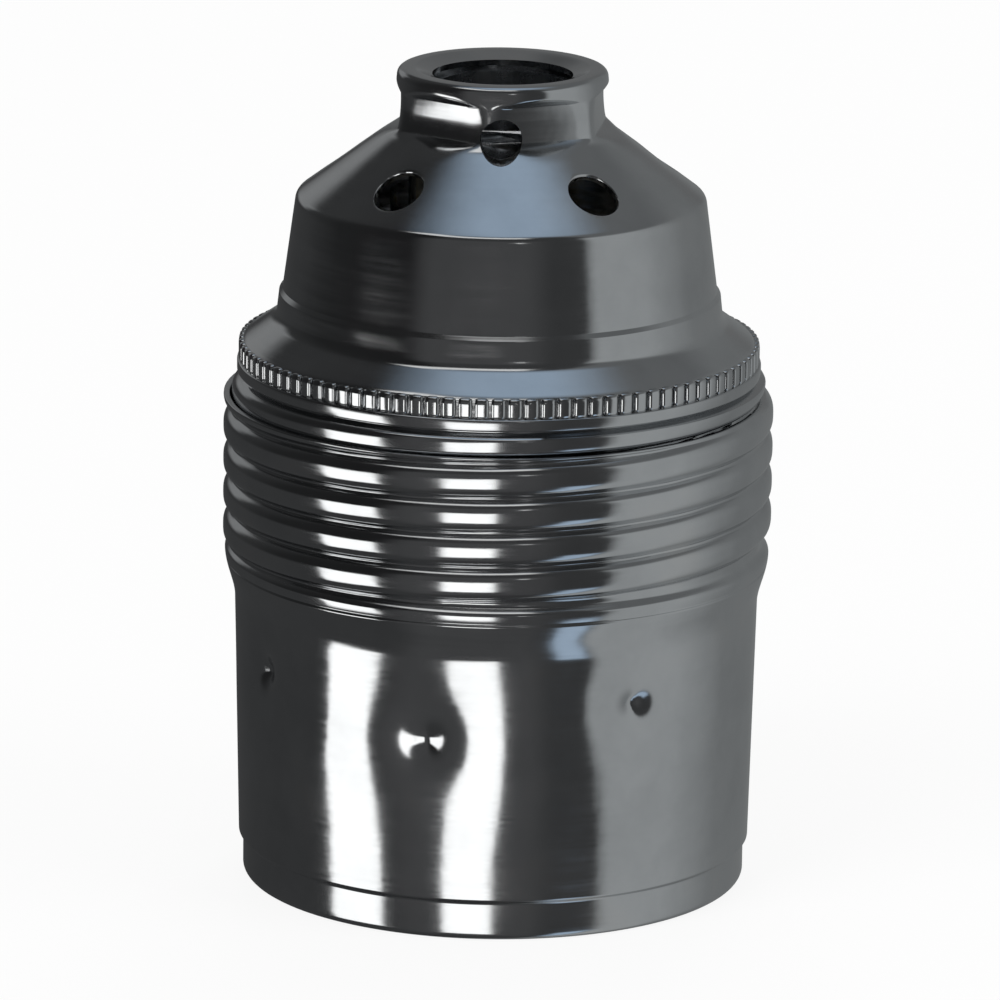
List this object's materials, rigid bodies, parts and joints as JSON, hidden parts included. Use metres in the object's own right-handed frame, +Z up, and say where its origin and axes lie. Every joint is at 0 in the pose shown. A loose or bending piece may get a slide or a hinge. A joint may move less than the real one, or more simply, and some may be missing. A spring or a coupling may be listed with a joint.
{
  "type": "lamp socket",
  "caption": "Metal E27 lamp socket: a vented, knurled cap with a hexagonal neck, screwed on a half-threaded shell around a porcelain contact insert.",
  "frame": {"origin": "centre of the shell's bottom edge, at floor height", "axes": "+Z up along the socket's axis to the cable entry; the pictured front looks along -Y; +X to the right of the picture"},
  "size_m": [0.0398, 0.0398, 0.0597],
  "materials": {
    "bright_nickel": "polished nickel plate",
    "porcelain": "glazed, off-white",
    "brass": "plain",
    "plated_brass": "nickel plated, satin",
    "zinc_steel": "zinc plated",
    "spring_steel": "bright drawn wire"
  },
  "bodies": {
    "cap": {"cap": "bright_nickel", "entry_nut": "zinc_steel", "earth_strip": "zinc_steel"},
    "lock_screw": {"lock_screw": "zinc_steel"},
    "earth_clamp": {"earth_clamp": "zinc_steel", "earth_screw": "zinc_steel"},
    "insert": {"porcelain_insert": "porcelain", "screw_shell": "plated_brass", "shell_rivets": "brass", "neutral_terminal": "brass", "live_terminal": "brass", "contact_barrel": "brass", "contact_spring": "spring_steel"},
    "neutral_clamp": {"neutral_clamp": "zinc_steel", "neutral_screw": "zinc_steel"},
    "live_clamp": {"live_clamp": "zinc_steel", "live_screw": "zinc_steel"},
    "contact_plunger": {"contact_plunger": "brass"},
    "shell": {"outer_shell": "bright_nickel", "porcelain_ring": "porcelain"}
  },
  "joints": [
    {"name": "insert_slide", "type": "slide", "parent": "cap", "child": "insert", "axis": [0, 0, -1], "range_m": [-0.00165, 0.0101]},
    {"name": "shell_turn", "type": "hinge", "parent": "insert", "child": "shell", "pos_m": [0, 0, 0.03], "axis": [0, 0, -1], "range_deg": [-237, 1440]},
    {"name": "lock_screw_slide", "type": "slide", "parent": "cap", "child": "lock_screw", "axis": [-0.0087, -1, 0], "range_m": [-0.0008, 0.002]},
    {"name": "earth_screw_lift", "type": "slide", "parent": "cap", "child": "earth_clamp", "axis": [0, 0, 1], "range_m": [0, 0.002]},
    {"name": "neutral_screw_lift", "type": "slide", "parent": "insert", "child": "neutral_clamp", "axis": [0, 0, 1], "range_m": [0, 0.0024]},
    {"name": "live_screw_lift", "type": "slide", "parent": "insert", "child": "live_clamp", "axis": [0, 0, 1], "range_m": [0, 0.0024]},
    {"name": "plunger_slide", "type": "slide", "parent": "insert", "child": "contact_plunger", "axis": [0, 0, 1], "range_m": [0, 0.0018], "stiffness_N_per_m": 800, "springref_m": -0.002, "deforming": ["contact_spring"]}
  ],
  "couplings": [
    {"joint": "insert_slide", "follows": "shell_turn", "m_per_rad": 0.00039789}
  ]
}
